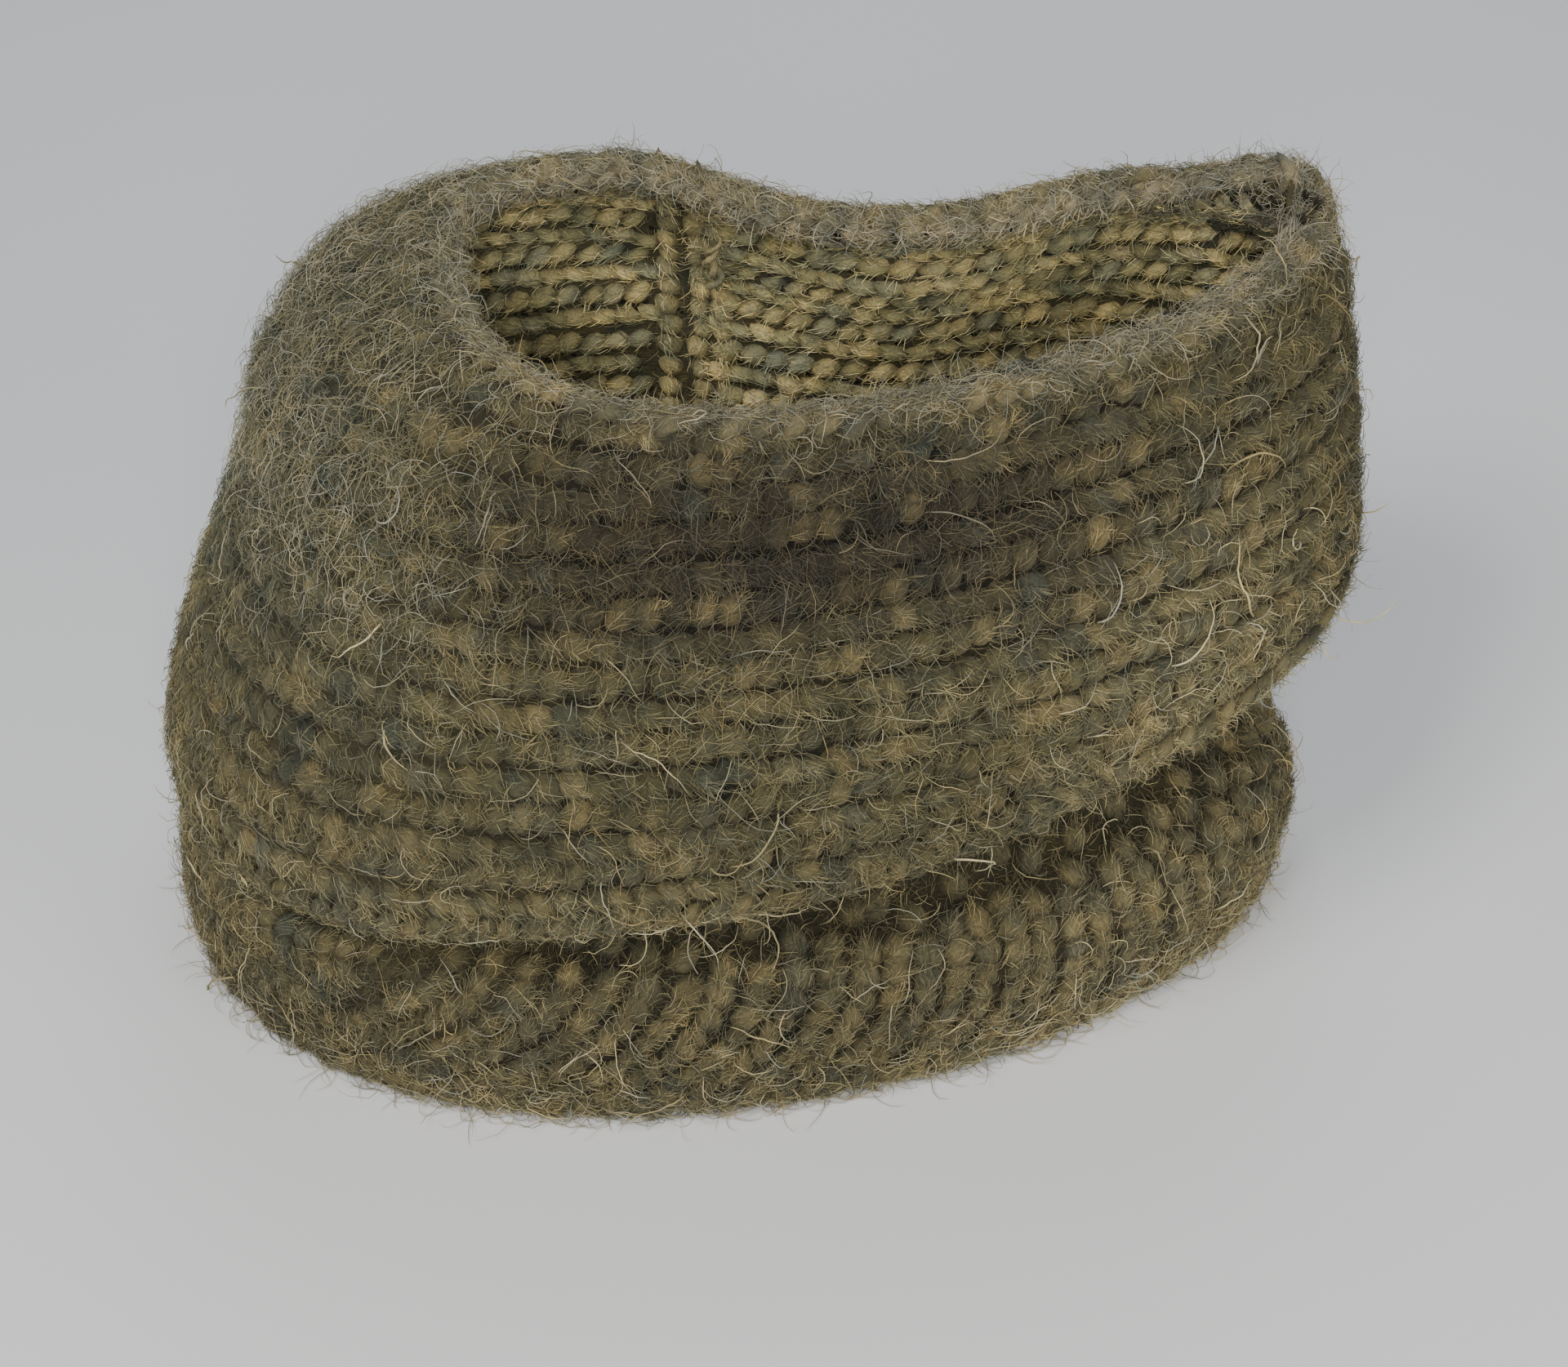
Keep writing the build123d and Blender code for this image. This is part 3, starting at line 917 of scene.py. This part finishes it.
def make_combed():
    """Short fibres that lie along their stitch, in its colour, and soften its outline."""
    made = []
    places = [("collar", 0, "wool_collar"), ("lip", 4, "wool_tube"), ("lower", 7, "wool_tube")]
    for where, low, slot in [*places, ("upper", 10, "wool_tube"), ("inside", 14, "wool_tube")]:
        way, turn, heading, start, look = (np.concatenate(v) for v in zip(*combed[where]))
        n = len(way)
        points, faces, each = fibres(
            way, turn, 2, rng.uniform(0.0022, 0.0050, n), rng.uniform(0.00006, 0.00012, n),
            jitter(n, 0.5), rng.uniform(0.15, 0.75, n), start, rough=0.6,
            heading=heading + jitter(n, 0.35),
        )
        look = np.repeat(look, each, axis=0)
        obj = fibre_mesh(f"combed_{where}", points, faces, each, look)
        made.append((obj, low, low + 3))
    return made


def make_curls():
    """Curly strands that stand out from the surface: many middling ones and a few long ones."""
    made = []
    n = 1600
    way, turn = scattered(n, -0.2, 13.5)
    form = fibres(
        way, turn, 9, rng.uniform(0.006, 0.013, n), rng.uniform(0.00008, 0.00015, n),
        rng.normal(0, 1.7, n), rng.uniform(0.4, 1.1, n), rough=1.6,
    )
    made.append((hair("curls", form, BRIGHT, 0.30), -0.2, 13.5))
    n = 150
    way, turn = scattered(n, -0.2, 13.5)
    at_lip = rng.random(n) < 0.25
    way = np.where(at_lip, crease_under(turn) + rng.uniform(0.4, 1.4, n), way)
    form = fibres(
        way, turn, 14, rng.uniform(0.008, 0.018, n), rng.uniform(0.00013, 0.00027, n),
        rng.normal(0, 1.9, n), rng.uniform(0.4, 0.9, n), rough=2.0, sides=5,
    )
    made.append((hair("strands", form, BRIGHT, 0.2), -0.2, 13.5))
    return made


def make_fringe():
    """The fuzz that spreads on the table from the cast-on edge."""
    n = 2600
    way, turn = rng.uniform(-0.7, 0.3, n), rng.random(n)
    form = fibres(
        way, turn, 7, rng.uniform(0.006, 0.014, n), rng.uniform(0.00007, 0.00013, n),
        rng.normal(0, 3.0, n), rng.uniform(0.2, 0.9, n), rough=1.0,
    )
    return hair("fringe", form, BRIGHT + MIXED, 0.3)


def make_haze():
    """The pale felted wool along the top and the inner side of the rim."""
    n = 11000
    way = rng.normal(13.75, 0.42, n)
    turn = rng.random(n)
    behind = ramp(on_wall(way, turn)[:, 1], 0.005, 0.030)
    keep = rng.random(n) < 1 - 0.60 * behind
    corner_way, corner_turn = rng.normal(14.1, 0.6, 12000), rng.random(12000)
    corner = ramp(on_wall(corner_way, corner_turn)[:, 0], 0.076, 0.096) > rng.random(12000)
    way = np.concatenate([way[keep], corner_way[corner]])
    turn = np.concatenate([turn[keep], corner_turn[corner]])
    n = len(way)
    form = fibres(
        way, turn, 5, rng.uniform(0.003, 0.009, n), rng.uniform(0.00006, 0.00011, n),
        rng.normal(0, 2.5, n), rng.uniform(0.1, 0.8, n), rough=0.8,
    )
    return hair("rim_haze", form, HAZE, 0.1)


# ======== the seam and the woven-in ends ========
def make_seam(name, node, low, high):
    """Sewing stitches up the seam, in three columns on the inside and in one across it outside."""
    parts = []
    for side_way, lean in ((0.0030, 1), (-0.0030, -1), (-0.0068, 1)):
        n = int((high - low) * 2.3)
        way = INNER - (low + (np.arange(n) + 0.5) * (high - low) / n)
        turn = np.full(n, side_way / 0.45) + jitter(n, 0.0006)
        heading = math.pi / 2 + lean * 0.45 + jitter(n, 0.1)
        # the sewing on the inner face is painted 2.6 times lighter, as painted light
        parts.append(grow(way, turn, heading, 0.0080, 0.0040, 1.0, "inside", 14, 5, 6, painted_light_gain=2.6))
    n = int((high - low) * 1.8)
    way = low + (np.arange(n) + 0.5) * (high - low) / n
    heading = jitter(n, 0.2) + 0.3
    turn = jitter(n, 0.0006)
    parts.append(grow(way, turn, heading, 0.0088, 0.0034, 0.6, "lower", 8, 5, 6))
    points, faces, grain, tint = joined(parts)
    obj = make_mesh(name, points, faces, YARN, tint, grain)
    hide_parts(node)
    return obj


def make_tail(name, node, body):
    """The end of the yarn: two plies twisted round each other, darned up the inner face."""
    low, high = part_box(node)
    radius = (high.x - low.x) / 2
    steps = 26
    t = np.linspace(0, 1, steps)
    middle = np.column_stack([
        (low.x + high.x) / 2 + 0.0008 * np.sin(t * 9),
        high.y - radius + (low.y + radius - (high.y - radius)) * t,
        low.z + radius + (high.z - low.z - 2 * radius) * t,
    ])
    parts = []
    for ply in (0, math.pi):
        angle = t * 14 + ply
        path = middle + 0.5 * radius * np.column_stack([np.cos(angle), np.sin(angle), 0 * t])
        points, faces, each = tubes(path[None], np.array([radius * 0.62]), sides=8)
        grain = np.stack([points[:, 2], points[:, 0], 0 * points[:, 0]], -1)
        parts.append((points, faces, grain, np.tile(TAN * 1.1, (len(points), 1))))
    points, faces, grain, tint = joined(parts)
    obj = make_mesh(name, points, faces, YARN, tint, grain)
    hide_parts(node)
    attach(obj, body)
    return obj


# ======== build ========
core = make_core()
bands = make_bands(slanted_rows())
# the rim's rows are paler towards the top: partly the rim's pale felted wool, partly painted
# highlight where the light from above falls
rim = edge_rows(
    "stitches_bound_edge",
    [(13.10, 0.35, 0.0085, 0.0040), (13.50, -0.30, 0.0080, 0.0038), (13.88, 0.30, 0.0080, 0.0036)],
    "bound_edge", (0.10, 0.25, 0.40), "upper",
)
foot = edge_rows(
    "stitches_cast_on_edge",
    [(-0.12, 0.5, 0.0085, 0.0042), (-0.5, -0.3, 0.0080, 0.0038), (27.3, 0.3, 0.0080, 0.0038)],
    "cast_on_edge", (0, 0.05, 0.05), "collar",
)
seam_low = make_seam("sewing_collar", "seam_yarn_collar", 0.2, CREASE)
seam_high = make_seam("sewing_tube", "seam_yarn_tube", CREASE, TOP + 0.2)
make_tail("tail_bottom", "yarn_tail_bottom", "collar")
make_tail("tail_top", "yarn_tail_top", "upper_tube")
halo = make_halo() + make_combed()
frost = make_frost()
fold_fuzz = make_fold_fuzz()
curls = make_curls()
fringe = make_fringe()
haze = make_haze()

CLEAR_OF_FOLD = 7.5                 # pieces that start above this level don't reach the fold
for obj, number in bands:
    if number == 0:
        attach(obj, "collar")
    elif number >= CLEAR_OF_FOLD:
        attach(obj, "upper_tube")
    else:
        bend(obj)
for obj, low, high in halo + curls:
    if low >= CLEAR_OF_FOLD and high < TOP + 1.0:
        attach(obj, "upper_tube")
    else:
        bend(obj)
for obj in (core, seam_low, seam_high, fringe, fold_fuzz):
    bend(obj)
for obj in (rim, haze, frost):
    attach(obj, "upper_tube")
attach(foot, "collar")


# ======== floor, light and camera ========
def make_floor():
    size = 6.0
    mesh = bpy.data.meshes.new("floor")
    half = size / 2
    mesh.from_pydata(
        [(-half, -half, 0), (half, -half, 0), (half, half, 0), (-half, half, 0)], [], [(0, 1, 2, 3)]
    )
    floor = bpy.data.objects.new("floor", mesh)
    bpy.context.scene.collection.objects.link(floor)
    material = bpy.data.materials.new("pale_floor")
    material.use_nodes = True
    nodes, links = material.node_tree.nodes, material.node_tree.links
    shader = nodes["Principled BSDF"]
    shader.inputs["Roughness"].default_value = 0.6
    noise = nodes.new("ShaderNodeTexNoise")
    noise.inputs["Scale"].default_value = 8
    tones = nodes.new("ShaderNodeValToRGB")
    tones.color_ramp.elements[0].color = (0.60, 0.61, 0.63, 1)
    tones.color_ramp.elements[1].color = (0.66, 0.67, 0.69, 1)
    links.new(noise.outputs["Fac"], tones.inputs["Fac"])
    links.new(tones.outputs["Color"], shader.inputs["Base Color"])
    mesh.materials.append(material)
    floor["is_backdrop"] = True


def add_light(name, place, aim, size, power, colour):
    data = bpy.data.lights.new(name, "AREA")
    data.size, data.energy, data.color = size, power, colour
    lamp = bpy.data.objects.new(name, data)
    lamp.location = place
    lamp.rotation_euler = (Vector(aim) - Vector(place)).to_track_quat("-Z", "Y").to_euler()
    bpy.context.scene.collection.objects.link(lamp)


def make_camera():
    elevation, distance = math.radians(42), 0.530
    aim = Vector((MIDDLE.x + 0.0055, MIDDLE.y - 0.0005, 0.042))
    back = Vector((0, -math.cos(elevation), math.sin(elevation)))
    data = bpy.data.cameras.new("camera")
    data.sensor_width, data.lens = 36.0, 64.6
    camera = bpy.data.objects.new("camera", data)
    camera.location = aim + back * distance
    camera.rotation_euler = (-back).to_track_quat("-Z", "Y").to_euler()
    bpy.context.scene.collection.objects.link(camera)
    bpy.context.scene.camera = camera


make_floor()
add_light("key", (-0.40, -0.38, 0.92), (0, 0, 0.05), 0.40, 7.5, (1.0, 0.97, 0.92))
add_light("front", (0.02, -0.85, 0.66), (0, 0.03, 0.10), 0.35, 7.5, (1.0, 0.98, 0.94))
add_light("fill", (0.70, -0.50, 0.45), (0, 0, 0.05), 0.5, 3.5, (1.0, 0.94, 0.85))
add_light("back", (0.1, 0.8, 0.8), (0, 0, 0.08), 0.7, 4.0, (0.85, 0.92, 1.0))
world = bpy.data.worlds.new("studio")
world.use_nodes = True
world.node_tree.nodes["Background"].inputs["Color"].default_value = (0.75, 0.80, 0.88, 1)
world.node_tree.nodes["Background"].inputs["Strength"].default_value = 0.15
bpy.context.scene.world = world
make_camera()

low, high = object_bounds()
